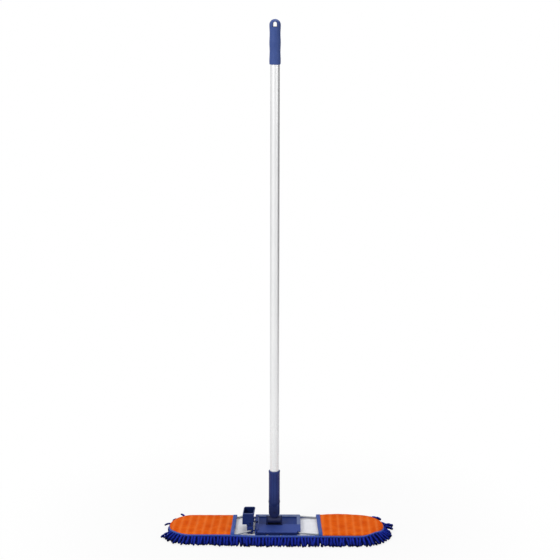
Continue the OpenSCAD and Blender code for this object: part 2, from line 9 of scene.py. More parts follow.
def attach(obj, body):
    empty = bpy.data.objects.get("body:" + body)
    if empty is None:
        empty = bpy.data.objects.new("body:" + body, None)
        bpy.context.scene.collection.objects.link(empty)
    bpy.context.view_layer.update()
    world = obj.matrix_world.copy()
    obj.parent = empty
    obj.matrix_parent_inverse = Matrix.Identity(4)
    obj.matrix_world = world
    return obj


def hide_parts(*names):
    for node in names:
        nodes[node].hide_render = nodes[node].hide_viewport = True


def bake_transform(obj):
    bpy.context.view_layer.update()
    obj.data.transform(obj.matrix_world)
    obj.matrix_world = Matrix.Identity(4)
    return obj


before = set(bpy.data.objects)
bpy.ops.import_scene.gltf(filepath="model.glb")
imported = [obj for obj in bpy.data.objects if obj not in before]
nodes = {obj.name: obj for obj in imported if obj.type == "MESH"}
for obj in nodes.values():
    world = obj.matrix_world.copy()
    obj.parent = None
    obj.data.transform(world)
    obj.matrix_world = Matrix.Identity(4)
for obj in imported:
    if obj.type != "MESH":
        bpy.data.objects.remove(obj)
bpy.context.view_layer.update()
mm = 0.001
fullTurn = 2 * pi
poleX = -6.5 * mm  # the pole stands a little left of the cover's middle
black, white = (0, 0, 0, 1), (1, 1, 1, 1)
print("frame loaded,", len(nodes), "solids")


def inMm(*lengths):
    return tuple(length * mm for length in lengths)


def clamp(part):
    return min(1.0, max(0.0, part))


def ease(part):  # 0 to 1, slow at both ends
    part = clamp(part)
    return part * part * (3 - 2 * part)


def tint(r, g, b):  # a given colour, 0 to 255, as linear light
    parts = [c / 255 for c in (r, g, b)]
    return tuple(c / 12.92 if c <= 0.04045 else ((c + 0.055) / 1.055) ** 2.4 for c in parts) + (1,)


class Thread:  # a socket that takes part in plain arithmetic
    def __init__(self, finish, socket):
        self.finish, self.socket = finish, socket

    def pair(self, kind, a, b):
        return self.finish.add("ShaderNodeMath", {"operation": kind}, {0: a, 1: b})

    def __add__(self, other): return self.pair("ADD", self, other)
    def __radd__(self, other): return self.pair("ADD", other, self)
    def __sub__(self, other): return self.pair("SUBTRACT", self, other)
    def __rsub__(self, other): return self.pair("SUBTRACT", other, self)
    def __mul__(self, other): return self.pair("MULTIPLY", self, other)
    def __rmul__(self, other): return self.pair("MULTIPLY", other, self)
    def __mod__(self, other): return self.pair("FLOORED_MODULO", self, other)
    def __pow__(self, other): return self.pair("POWER", self, other)
    def __lt__(self, other): return self.pair("LESS_THAN", self, other)
    def __gt__(self, other): return self.pair("GREATER_THAN", self, other)
    def __abs__(self): return self.finish.add("ShaderNodeMath", {"operation": "ABSOLUTE"}, {0: self})


class Finish:  # one material, or the world, and its nodes
    def __init__(self, name, shelf="materials"):
        self.owner = getattr(bpy.data, shelf).new(name)
        self.owner.use_nodes = True
        self.tree = self.owner.node_tree
        self.tree.nodes.clear()

    def add(self, kind, settings=None, inputs=None, out=0):
        node = self.tree.nodes.new(kind)
        for key, value in (settings or {}).items():
            if key == "stops":
                for stop, (place, colour) in zip(node.color_ramp.elements, value):
                    stop.position, stop.color = place, colour
            else:
                setattr(node, key, value)
        for key, value in (inputs or {}).items():
            if isinstance(value, Thread):
                self.tree.links.new(value.socket, node.inputs[key])
            else:
                node.inputs[key].default_value = value
        return Thread(self, node.outputs[out]) if len(node.outputs) else None

    def swing(self, value, length):  # -1 to 1 and back along each length
        return self.add("ShaderNodeMath", {"operation": "SINE"}, {0: value * (fullTurn / length)})

    def wave(self, value, length):  # 0 to 1 and back along each length
        return self.swing(value, length) * 0.5 + 0.5

    def noise(self, scale, vector, detail=3.0, rough=0.5):
        plugs = {"Vector": vector, "Scale": scale, "Detail": detail, "Roughness": rough}
        return self.add("ShaderNodeTexNoise", {}, plugs)

    def fade(self, value, start, end, first, last):  # eased from the first level to the last one
        return self.add("ShaderNodeMapRange", {"interpolation_type": "SMOOTHSTEP"},
                        {"Value": value, "From Min": start, "From Max": end, "To Min": first, "To Max": last})

    def spot(self):  # place on the solid in metres
        return self.add("ShaderNodeTexCoord", {}, {}, "Object")

    def cloth(self):  # place on the flat cloth
        return self.add("ShaderNodeUVMap", {"uv_map": "cloth"})

    def axes(self, vector):
        first = self.add("ShaderNodeSeparateXYZ", {}, {0: vector})
        return [Thread(self, socket) for socket in first.socket.node.outputs]

    def within(self, values, box):  # 1 inside a box in mm, where None is an open side
        sides = [value > low * mm for value, (low, _) in zip(values, box) if low is not None]
        sides += [value < high * mm for value, (_, high) in zip(values, box) if high is not None]
        return math.prod(sides)

    def stretch(self, vector, scale):
        return self.add("ShaderNodeVectorMath", {"operation": "MULTIPLY"}, {0: vector, 1: scale})

    def mix(self, factor, a, b):  # two colours, each a link or given
        a, b = (colour if isinstance(colour, Thread) else tint(*colour) for colour in (a, b))
        return self.add("ShaderNodeMix", {"data_type": "RGBA"}, {0: factor, 6: a, 7: b}, 2)

    def between(self, factor, look):  # from the look's low colour to its high one
        return self.mix(factor, look["low"], look.get("high", look["low"]))

    def bump(self, height, depth, strength=1.0, under=None):
        plugs = {"Height": height, "Distance": depth, "Strength": strength}
        if under is not None:
            plugs["Normal"] = under
        return self.add("ShaderNodeBump", {}, plugs)

    def close(self, base, rough, more):
        plugs = {"Base Color": base, "Roughness": rough} | more
        surface = self.add("ShaderNodeBsdfPrincipled", {}, plugs, "BSDF")
        self.add("ShaderNodeOutputMaterial", {}, {"Surface": surface})
        return self.owner

    def closeCloth(self, base, height, fuzz, look):
        look = woven | look
        rough = look["rough"] + (fuzz - 0.5) * look["roughPart"]
        return self.close(base, rough, {
            "Normal": self.bump(height, look["depth"], look["bump"]), "Specular IOR Level": look["shine"],
            "Sheen Weight": look["sheen"], "Sheen Tint": tint(*look["sheenTint"])})


# what the cloths share
woven = {"shine": 0.5, "sheen": 0.0, "sheenTint": (255, 255, 255), "bump": 0.8}
# what the moulded parts share, and how much finer the patches of the painted rim highlights are than the
# cloud
plastic = {
    "grain": 900, "depth": 0.05 * mm, "round": 0.7 * mm, "shine": 0.3, "bump": 0.6, "cloudRise": 0.2,
    "cloudRough": 0.18, "grainRough": 0.1, "wear": 3}


# moulded parts: slight cloud in the colour, fine grain, soft edges
def moulded(name, look):
    look = plastic | look
    f = Finish(name)
    place = f.spot()
    x, y, z = f.axes(place)
    cloud = f.noise(look["cloud"], place, 4.0, 0.6)
    grain = f.noise(look["grain"], place, 2.0)
    base = f.between(cloud, look)
    for zone in look.get("zones", []):  # boxes in another shade
        share = f.within((x, y, z), zone["box"]) * zone.get("share", 1.0)
        # painted highlights broken into patches
        if "patchyHighlight" in zone:
            least, more = zone["patchyHighlight"]
            share = share * (least + f.noise(look["cloud"] * look["wear"], place) * more)
        base = f.mix(share, base, f.between(cloud, zone))
    if "flutes" in look:  # shallow flutes down the socket
        count, share = look["flutes"]
        angle = f.add("ShaderNodeMath", {"operation": "ARCTAN2"}, {0: y, 1: x - poleX})
        base = f.mix(f.wave(angle, fullTurn / count) * share, base, look["fluteTint"])
    if "hole" in look:  # painted shade inside the hang hole
        half, floorZ, arcZ = look["hole"]
        aside, rise = x - poleX, z - arcZ
        square = (abs(aside) < half) * (z > floorZ) * (z < arcZ)
        arch = (aside * aside + rise * rise) < half ** 2
        inside = 1 - (1 - square) * (1 - arch)
        base = f.mix(inside * look["holeShare"], base, look["holeTint"])
    if "foot" in look:  # painted shade: the fork darkens towards the joint
        low, high = look["foot"]
        base = f.mix(f.fade(z, high, low, 0.0, look["footShare"]), base, look["footTint"])
    height = grain + cloud * look["cloudRise"]
    if "studs" in look:  # anti-slip spots on the tread
        cell = f.add("ShaderNodeTexVoronoi", {"feature": "F1"}, {"Vector": place, "Scale": look["studs"]})
        full, none = look["studEdge"]
        spot = f.add("ShaderNodeValToRGB", {"stops": [(full, white), (none, black)]}, {0: cell})
        stud = spot * f.within((x, y, z), look["studBox"])
        base = f.mix(stud * look["studShare"], base, look["studTint"])
        height = height + stud * look["studRise"]
    edges = f.add("ShaderNodeBevel", {"samples": 6}, {"Radius": look["round"]})  # rounded look
    normal = f.bump(height, look["depth"], look["bump"], edges)
    rough = look["rough"] + (cloud - 0.5) * look["cloudRough"] + (grain - 0.5) * look["grainRough"]
    return f.close(base, rough, {"Normal": normal, "Specular IOR Level": look["shine"]})


openSide = (None, None)
# zones of the plate: painted shade in the sunk panel, a painted highlight in patches on its rim, painted
# shade on the front wall, and the cradle round the joint
plateLook = {"low": (46, 64, 132), "high": (58, 78, 148), "cloud": 22, "rough": 0.5, "shine": 0.07, "zones": [
    {"box": ((-49.5, 57), (-9.5, 44.5), (22.6, 24.6)), "low": (16, 40, 104), "high": (24, 50, 118)},
    {"box": ((-52, 70), (-10, 70), (25.6, 26.8)), "low": (118, 131, 164), "patchyHighlight": (0.35, 0.6)},
    {"box": (openSide, (None, -60.6), openSide), "low": (20, 32, 78), "share": 0.85},
    {"box": ((-30, 17), (-16, 16), (25.2, None)), "low": (22, 28, 62), "high": (32, 40, 80)}]}
gripLook = {
    "low": (54, 74, 134), "high": (72, 93, 154), "cloud": 30, "grain": 1300, "depth": 0.06 * mm,
    "round": 0.8 * mm, "rough": 0.46, "shine": 0.18, "hole": inMm(6.2, 1408.4, 1415.95), "holeShare": 0.7,
    "holeTint": (22, 26, 62)}
socketLook = {
    "low": (30, 44, 98), "high": (40, 56, 115), "cloud": 26, "grain": 1000, "rough": 0.4, "shine": 0.15,
    "flutes": (12, 0.3), "fluteTint": (54, 71, 136), "foot": inMm(58, 130), "footShare": 0.75,
    "footTint": (13, 22, 62)}
swivelLook = {"low": (24, 30, 66), "high": (34, 42, 84), "cloud": 30, "grain": 1000, "rough": 0.42}
barLook = {"low": (28, 46, 108), "high": (40, 60, 132), "cloud": 24, "rough": 0.42, "shine": 0.12}
pedalLook = {
    "low": (15, 30, 78), "high": (25, 43, 100), "cloud": 40, "grain": 800, "depth": 0.12 * mm,
    "round": 0.8 * mm, "rough": 0.5, "shine": 0.06,
    # a painted highlight in patches along the tops of the walls
    "zones": [{"box": ((-100, -50), (-60, 20), (68.6, 70.5)), "low": (92, 104, 150), "patchyHighlight": (0.35, 0.6)}],
    "studs": 330, "studEdge": (0.18, 0.5), "studBox": (openSide, (None, -27), (41, None)),
    "studShare": 0.75, "studRise": 3.0, "studTint": (36, 50, 110)}
plugLook = {
    "low": (16, 22, 56), "high": (24, 32, 72), "cloud": 60, "round": 0.4 * mm, "rough": 0.45, "shine": 0.15}


def drawnMetal(name, look):  # fine lines along the draw over a soft haze
    f = Finish(name)
    place = f.spot()
    drawn = f.noise(look["drawn"], f.stretch(place, look["along"]), *look["fine"])
    haze = f.noise(look["haze"], f.stretch(place, look["hazeAlong"]))
    rough = look["rough"] + (drawn - 0.5) * look["drawnRough"] + (haze - 0.5) * look["hazeRough"]
    normal = f.bump(drawn, look["depth"], look["bump"])
    return f.close(f.between(haze, look), rough, {"Normal": normal, "Metallic": look["metal"]})


steel = {
    "along": (0.06, 1, 1), "fine": (4.0, 0.5), "hazeAlong": (1, 1, 1), "drawnRough": 0.2, "hazeRough": 0.0,
    "metal": 0.95, "depth": 0.02 * mm, "bump": 1.0}
wireLook = steel | {"low": (124, 127, 132), "high": (174, 177, 182), "drawn": 900, "haze": 60, "rough": 0.36}
pinLook = steel | {"low": (18, 20, 28), "high": (30, 33, 44), "drawn": 1200, "haze": 90, "rough": 0.45}
tubeLook = {
    "low": (240, 241, 242), "high": (252, 252, 252), "drawn": 1500, "along": (1, 1, 0.012),
    "fine": (5.0, 0.6), "haze": 30, "hazeAlong": (1, 1, 0.2), "rough": 0.4, "drawnRough": 0.16,
    "hazeRough": 0.08, "metal": 0.7, "depth": 0.012 * mm, "bump": 0.7}

solidFinish = {
    moulded("plateBlue", plateLook): ["centre_plate"],
    moulded("barBlue", barLook): ["hinge_bar"],
    moulded("gripBlue", gripLook): ["hand_grip"],
    moulded("socketBlue", socketLook): ["pole_socket"],
    moulded("swivelBlue", swivelLook): ["swivel"],
    moulded("pedalDark", pedalLook): ["release_pedal"],
    moulded("plugDark", plugLook): ["cross_pin"],
    drawnMetal("wireSteel", wireLook): ["left_wire", "right_wire"],
    drawnMetal("darkSteel", pinLook): ["fold_pins", "joint_pin", "pedal_pin", "pole_screw", "pedal_spring"],
    drawnMetal("poleSatin", tubeLook): ["pole_tube"],
}
roundWires = ("left_wire", "right_wire", "pedal_spring")


def shade(mesh, smooth=True):
    mesh.polygons.foreach_set("use_smooth", [smooth] * len(mesh.polygons))


for mat, names in solidFinish.items():
    for name in names:
        mesh = nodes[name].data
        mesh.materials.clear()
        mesh.materials.append(mat)
        if name in roundWires:
            shade(mesh)
print("solids finished")

# curlLeft: how far up, then from and over which x, from and over which y
# curlCorner: how far up, x, y, spread
cover = {
    "endX": 235 * mm, "edge": 66 * mm, "top": 15 * mm, "foldFrom": inMm(-44.5, 0, 13),
    "foldTo": inMm(-72, 0, 13), "curlLeft": inMm(3.4, -60, 90, -15, 35),
    "curlCorner": inMm(6.0, 275, -54, 26), "flatStep": 5 * mm, "curveStep": 4 * mm, "foldStep": 1.8 * mm,
    "fineFrom": 82 * mm, "fineTo": 36 * mm}
straight, halfRound = 2 * cover["endX"], pi * cover["edge"]
lap = 2 * (straight + halfRound)  # once round the sewn edge


# the point at way s round the edge and w out from the cover's middle line, and the direction outwards
def around(s, w):
    s %= lap
    side = 1 if s < lap / 2 else -1  # the back and left half is the other half turned round
    s %= lap / 2
    if s < straight:
        return side * (s - cover["endX"]), -side * w, 0.0, -side
    a = -pi / 2 + (s - straight) / cover["edge"]
    nx, ny = side * cos(a), side * sin(a)
    return side * cover["endX"] + w * nx, w * ny, nx, ny


def curlUp(x, y):  # how far the sewn edge turns up, along the left front and at the right front corner
    lift, fromX, runX, fromY, runY = cover["curlLeft"]
    left = lift * ease((fromX - x) / runX) * ease((fromY - y) / runY)
    lift, cornerX, cornerY, spread = cover["curlCorner"]
    return left + lift * math.exp(-((x - cornerX) ** 2 + (y - cornerY) ** 2) / spread ** 2)


def laySteps():  # stations round the edge, closer where the wing folds
    flat = np.arange(0, straight, cover["flatStep"])
    fold = np.arange(cover["endX"] - cover["fineFrom"], cover["endX"] - cover["fineTo"], cover["foldStep"])
    front = np.unique(np.round(np.concatenate([flat, fold]), 5))
    curve = np.arange(0, halfRound, cover["curveStep"])
    back = np.concatenate([[0], np.sort(straight - front[1:])])
    return np.concatenate([
        front, straight + curve, straight + halfRound + back, 2 * straight + halfRound + curve])


def putIn(name, data):  # a new object in the scene
    thing = bpy.data.objects.new(name, data)
    bpy.context.collection.objects.link(thing)
    return thing


# closed joins the ends of each row, looped joins the last row to the first
def gridFaces(rows, perRow, closed=True, looped=False, start=0):
    faces = []
    for r in range(rows if looped else rows - 1):
        here, there = start + r * perRow, start + (r + 1) % rows * perRow
        for i in range(perRow if closed else perRow - 1):
            j = (i + 1) % perRow
            faces.append((here + i, here + j, there + j, there + i))
    return faces


def tubeFaces(rows, perRow, start=0):  # closed at both ends
    last = start + (rows - 1) * perRow
    ends = [tuple(start + i for i in reversed(range(perRow))), tuple(last + i for i in range(perRow))]
    return gridFaces(rows, perRow, start=start) + ends


def buildPiece(name, verts, faces, uvs, mat):
    mesh = bpy.data.meshes.new(name)
    mesh.from_pydata(verts, [], faces)
    layer = mesh.uv_layers.new(name="cloth")
    order = np.empty(len(mesh.loops), dtype=np.int64)
    mesh.loops.foreach_get("vertex_index", order)
    layer.data.foreach_set("uv", np.asarray(uvs, dtype=np.float32)[order].ravel())
    shade(mesh)
    mesh.materials.append(mat)
    mesh.validate()
    piece = putIn(name, mesh)
    return piece


def weld(piece, gap=0.02 * mm):
    bm = bmesh.new()
    bm.from_mesh(piece.data)
    bmesh.ops.remove_doubles(bm, verts=bm.verts, dist=gap)
    bmesh.ops.recalc_face_normals(bm, faces=bm.faces)
    bm.to_mesh(piece.data)
    bm.free()


def thicken(piece, thickness):  # downwards from the upper face
    if sum(p.normal.z * p.area for p in piece.data.polygons) < 0:
        piece.data.flip_normals()
    mod = piece.modifiers.new("thickness", "SOLIDIFY")
    mod.thickness, mod.offset, mod.use_even_offset = thickness, -1.0, True
    with bpy.context.temp_override(object=piece):
        bpy.ops.object.modifier_apply(modifier=mod.name)


# white canvas under everything
def canvasFinish(look):
    f = Finish("whiteCanvas")
    flat = f.cloth()
    u, v, _ = f.axes(flat)
    weave = f.swing(u, look["pitch"]) * f.swing(v, look["pitch"]) * 0.5 + 0.5
    slub = f.noise(look["slub"], f.stretch(flat, look["slubAlong"]))
    base = f.between(f.noise(look["soil"], flat, 4.0), look)
    base = f.mix((1 - weave) * look["gapShare"], base, look["gap"])
    return f.closeCloth(base, weave * look["weaveRise"] + slub * look["slubRise"], slub, look)


# rows run in from the sewn edge in mm, and the edge turns up outside turnFrom
canvas = {
    "pitch": 1.1 * mm, "slub": 140, "slubAlong": (1, 6, 1), "soil": 26, "low": (234, 235, 241),
    "high": (248, 249, 253), "gap": (180, 183, 194), "gapShare": 0.12, "weaveRise": 0.6, "slubRise": 0.8,
    "depth": 0.25 * mm, "rough": 0.86, "roughPart": 0.1, "sheen": 0.15, "thick": 2.6 * mm, "sag": 0.9 * mm,
    "sagRun": 8, "rows": [66, 62, 57, 51, 44, 36, 28, 20, 12, 5, 0], "turnFrom": 62,
    "ripple": inMm(7.3, 11, 9.1, 31), "waver": 0.4}
steps = laySteps()


def layCanvas():
    edge, (longX, waverY, longY, leanX) = canvas["rows"][0], canvas["ripple"]
    verts, uvs = [], []
    for w in canvas["rows"]:
        slack = clamp((edge - w) / canvas["sagRun"]) * canvas["sag"]
        turned = clamp((w - canvas["turnFrom"]) / (edge - canvas["turnFrom"]))
        for s in steps:
            x, y, _, _ = around(s, w * mm)
            ripple = sin(x / longX + canvas["waver"] * sin(y / waverY)) + sin(y / longY + x / leanX)
            verts.append((x, y, cover["top"] - slack * (0.5 + 0.25 * ripple) + curlUp(x, y) * turned))
            uvs.append((x, y))
    faces = gridFaces(len(canvas["rows"]), len(steps))
    piece = buildPiece("canvasBacking", verts, faces, uvs, canvasFinish(canvas))
    weld(piece)
    thicken(piece, canvas["thick"])
    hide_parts("backing_main", "backing_left", "backing_fold")
    return piece


canvasBacking = layCanvas()
print("canvas laid,", len(canvasBacking.data.vertices), "points")


# folded tape sewn round the edge and across the pocket mouths
def tapeFinish(name, look):
    f = Finish(name)
    flat = f.cloth()  # u along the tape, v across it, in metres
    u, v, _ = f.axes(flat)
    rib = f.wave(u, look["rib"])
    fuzz = f.noise(look["fuzz"], flat)
    base = f.between(fuzz, look)
    base = f.mix((1 - rib) * look["ribShare"], base, look["gap"])
    height = rib * look["ribRise"] + fuzz * look["fuzzRise"]
    pitch, length, half = look["stitch"]
    for seam in look["seams"]:
        near = abs(v - seam) < half
        stitch = near * ((u % pitch) < length)
        pinch = near - stitch  # between two stitches
        base = f.mix(stitch * look["stitchShare"], base, look["thread"])
        base = f.mix(pinch * look["pinchShare"], base, look["gap"])
        height = height + stitch * look["stitchRise"] - pinch * look["pinchDeep"]
    return f.closeCloth(base, height, fuzz, look)


# a stitch: its pitch, its length and half its width
tape = {
    "rib": 0.9 * mm, "ribShare": 0.25, "ribRise": 0.6, "fuzz": 320, "fuzzRise": 0.4,
    "stitch": inMm(4.2, 3.0, 0.45), "stitchShare": 0.8, "stitchRise": 0.9, "pinchShare": 0.6,
    "pinchDeep": 0.7, "depth": 0.2 * mm, "bump": 0.9, "rough": 0.72, "roughPart": 0.14, "shine": 0.2,
    "sheen": 0.1}
# the edge tape's section in mm out and up: its top lies on the canvas or is tucked under a pocket's skirt
edgeTape = tape | {
    "low": (52, 80, 160), "high": (70, 100, 182), "gap": (34, 54, 122), "thread": (92, 122, 196),
    "seams": [2.4 * mm], "openTop": [(60.9, 14.5), (60.8, 15.15), (61.9, 15.8), (64.6, 16.4), (67.2, 16.7)],
    "skirtTop": [(66.0, 14.6), (66.3, 15.8), (66.8, 16.6), (67.5, 17.0), (68.1, 16.8)],
    "outer": [(68.6, 16.2), (69.7, 15.3), (70.2, 13.6), (69.9, 12.1)],
    "lower": [(69.0, 11.3), (67.4, 10.9), (65.4, 11.0), (63.8, 11.5), (63.4, 12.4)], "middle": (66.5, 13.5),
    "skirtFrom": 114 * mm, "skirtRun": 6 * mm, "swell": 0.02, "swellLong": 4.3 * mm, "pucker": 0.015}
mouthTape = tape | {
    "low": (46, 72, 150), "high": (62, 92, 172), "gap": (30, 48, 112), "thread": (84, 114, 190),
    "seams": inMm(1.6, 9.4), "width": 11 * mm, "thick": 1.7 * mm, "across": 7, "fine": 1.6 * mm,
    "lift": inMm(0.6, 0.4)}


def bindEdge():
    pucker = np.random.default_rng(11).uniform(-1, 1, len(steps))
    midW, midZ = edgeTape["middle"]
    verts, uvs = [], []
    for k, s in enumerate(steps):
        x, _, _, _ = around(s, cover["edge"])
        climb = ease((abs(x) - edgeTape["skirtFrom"]) / edgeTape["skirtRun"])
        top = [(a[0] + (b[0] - a[0]) * climb, a[1] + (b[1] - a[1]) * climb)
               for a, b in zip(edgeTape["openTop"], edgeTape["skirtTop"])]
        shape = top + edgeTape["outer"] + edgeTape["lower"]
        swell = 1 + edgeTape["swell"] * sin(s / edgeTape["swellLong"]) + edgeTape["pucker"] * pucker[k]
        run = 0.0
        for q, (w, z) in enumerate(shape):
            run += math.dist(shape[q - 1], (w, z)) * mm if q else 0.0
            px, py, _, _ = around(s, (midW + (w - midW) * swell) * mm)
            verts.append((px, py, (midZ + (z - midZ) * swell) * mm + curlUp(px, py)))
            uvs.append((s, run))
    faces = [(a, d, c, b) for a, b, c, d in gridFaces(len(steps), len(shape), looped=True)]
    piece = buildPiece("edgeBinding", verts, faces, uvs, tapeFinish("bindingTape", edgeTape))
    weld(piece, 0.001 * mm)
    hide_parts("binding_main", "binding_left", "binding_fold")
    return piece


edgeBinding = bindEdge()
print("edge bound")


# stretched mesh pockets over the wire loops
def meshFinish(look):
    f = Finish("pocketMesh")
    flat = f.cloth()
    u, v, _ = f.axes(flat)
    knit = f.swing(u, look["eyeU"]) * f.swing(v, look["eyeV"]) * 0.5 + 0.5
    shut, clear = look["holeEdge"]
    hole = f.add("ShaderNodeValToRGB", {"stops": [(shut, black), (clear, white)]}, {0: knit})
    band = f.wave(u, look["band"])
    cloud = (f.noise(look["cloud"], flat) - 0.5) * look["cloudPart"] + 0.5
    fuzz = f.noise(look["fuzz"], flat, 2.0)
    rib = f.wave(v + cloud * look["ribWander"], look["rib"])
    base = f.between(cloud, look)
    base = f.mix(band ** 3.0 * look["bandShare"], base, look["bandTint"])
    base = f.mix(rib ** 2.0 * (1 - band) * look["ribShare"], base, look["ribTint"])
    base = f.mix(hole * look["holeShare"], base, look["hole"])
    height = (1 - hole) * look["knitRise"] + fuzz * look["fuzzRise"] + band * look["bandRise"]
    return f.closeCloth(base, height, fuzz, look)


# values by side are left -1 and right 1. The skirt runs from the sewn edge over the wire to the middle, in mm
pocket = {
    "eyeU": 5.6 * mm, "eyeV": 4.4 * mm, "knitRise": 0.9, "cloud": 26, "cloudPart": 2.2, "fuzz": 500,
    "fuzzRise": 0.35, "low": (216, 78, 4), "high": (246, 112, 28), "hole": (172, 54, 0), "holeShare": 0.5,
    "holeEdge": (0.62, 0.9),
    "band": 21.6 * mm, "bandTint": (246, 136, 64), "bandShare": 0.42, "bandRise": 0.2,
    "rib": 11 * mm, "ribWander": 5.2521 * mm, "ribTint": (204, 72, 0), "ribShare": 0.35, "depth": 0.5 * mm,
    "rough": 0.7, "roughPart": 0.16, "shine": 0.02, "thick": 1.1 * mm, "mouthBack": 113 * mm,
    "mouthFront": 117.5 * mm, "mouthHalf": 70 * mm, "underTape": 4 * mm, "sag": 0.8 * mm,
    "mouthSag": 3.6 * mm, "mouthSagRun": 38 * mm, "wireAt": 59 * mm, "seamFrom": 57 * mm,
    "wrinkle": 0.35 * mm, "wrinkleLong": inMm(6.1, 17, 23), "wrinkleBend": 1.7, "gather": 0.18 * mm,
    "gatherLong": inMm(4.4, 5.2), "puff": inMm(4.6, 176, 58), "puffZ": inMm(15, 9), "puffY": inMm(20, 70),
    "curlZ": inMm(21.8, 7), "seed": {-1: 2.1, 1: 0.3}, "bandFrom": {-1: 3.7 * mm, 1: -4.1 * mm},
    "bandLean": {-1: 0.06, 1: 0.0}, "flatPoints": 26, "endPoints": 56,
    "skirt": [
        (66.0, 14.8), (66.8, 16.2), (67.1, 17.6), (66.9, 19.1), (66.1, 20.6), (65.0, 21.8), (63.4, 22.9),
        (61.4, 23.6), (59.0, 24.0), (56, 24.3), (52, 24.5), (47, 24.6), (41, 24.7), (34, 24.7), (27, 24.7),
        (20, 24.7), (13, 24.7), (6, 24.7), (0, 24.7)]}


def mouthX(y):
    part = (y + pocket["mouthHalf"]) / (2 * pocket["mouthHalf"])
    return pocket["mouthFront"] + (pocket["mouthBack"] - pocket["mouthFront"]) * part


def pocketHeight(w, z, x, y, side):
    p = pocket
    seed = p["seed"][side]
    if side > 0:  # the right pocket stands fuller along its back edge
        lift, mid, spread = p["puff"]
        (fromZ, runZ), (fromY, runY) = p["puffZ"], p["puffY"]
        rise = clamp((z - fromZ) / runZ) * clamp((y + fromY) / runY)
        z += lift * rise * math.exp(-((x - mid) / spread) ** 2)
    topZ, downZ = p["curlZ"]
    z += curlUp(side * x, y) * clamp((topZ - z) / downZ)
    inner = max(0.0, 1 - (w / p["wireAt"]) ** 2)
    slack = p["mouthSag"] * math.exp(-max(0.0, x - mouthX(y)) / p["mouthSagRun"]) + p["sag"]
    longX, bendY, longY = p["wrinkleLong"]
    wrinkle = sin(x / longX + p["wrinkleBend"] * sin(y / bendY) + seed) * sin(y / longY + seed)
    gatherX, gatherY = p["gatherLong"]
    gather = p["gather"] * sin(x / gatherX + y / gatherY + seed) * (w > p["seamFrom"])
    return z - slack * inner + p["wrinkle"] * wrinkle * inner + gather


meshMat, mouthMat = meshFinish(pocket), tapeFinish("mouthTape", mouthTape)


def sewPocket(name, side, body, node):
    verts, uvs = [], []
    flatN, endN = pocket["flatPoints"], pocket["endPoints"]
    line = [("front", i / flatN) for i in range(flatN)] + [("end", i / endN) for i in range(endN)]
    line += [("back", i / flatN) for i in range(flatN + 1)]
    for w, z in pocket["skirt"]:
        r = w * mm
        for kind, t in line:
            if kind == "end":
                a = -pi / 2 + pi * t
                x, y = cover["endX"] + r * cos(a), r * sin(a)
            else:
                y = -r if kind == "front" else r
                x0 = mouthX(y) + pocket["underTape"]
                x = x0 + (cover["endX"] - x0) * (t if kind == "front" else 1 - t)
            verts.append((side * x, y, pocketHeight(r, z * mm, x, y, side)))
            uvs.append((x - pocket["bandFrom"][side] + y * pocket["bandLean"][side], y))
    faces = gridFaces(len(pocket["skirt"]), len(line), closed=False)
    piece = buildPiece(name, verts, faces, uvs, meshMat)
    weld(piece)
    thicken(piece, pocket["thick"])
    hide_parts(node)
    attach(piece, body)
    return piece


def sewMouth(name, side, body, node):
    across, width = mouthTape["across"], mouthTape["width"]
    least, crown = mouthTape["lift"]
    half = [inMm(w, z) for w, z in pocket["skirt"]]
    line = [(-w, z) for w, z in half] + half[-2::-1]
    fine = []
    for (y0, z0), (y1, z1) in zip(line, line[1:]):
        parts = max(1, round(math.dist((y0, z0), (y1, z1)) / mouthTape["fine"]))
        fine += [(y0 + (y1 - y0) * k / parts, z0 + (z1 - z0) * k / parts) for k in range(parts)]
    fine.append(line[-1])
    verts, uvs = [], []
    along = 0.0
    for i, (y, z) in enumerate(fine):
        (ya, za), (yb, zb) = fine[max(0, i - 2)], fine[min(len(fine) - 1, i + 2)]
        size = math.dist((ya, za), (yb, zb))
        outY, outZ = -(zb - za) / size, (yb - ya) / size
        along += math.dist(fine[i - 1], (y, z)) if i else 0.0
        for k in range(across + 1):
            part = k / across
            x = mouthX(y) + part * width
            lift = least + crown * sin(pi * part) ** 0.5
            top = pocketHeight(abs(y), z, x, y, side)
            verts.append((side * x, y + outY * lift, top + outZ * lift))
            uvs.append((along, part * width))
    faces = gridFaces(len(fine), across + 1, closed=False)
    piece = buildPiece(name, verts, faces, uvs, mouthMat)
    thicken(piece, mouthTape["thick"])
    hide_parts(node)
    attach(piece, body)
    return piece


rightPocket = sewPocket("meshPocketRight", 1, "head", "right_pocket")
leftPocket = sewPocket("meshPocketLeft", -1, "left_wing", "left_pocket")
rightMouth = sewMouth("mouthTapeRight", 1, "head", "right_pocket_tape")
leftMouth = sewMouth("mouthTapeLeft", -1, "left_wing", "left_pocket_tape")
print("pockets sewn")


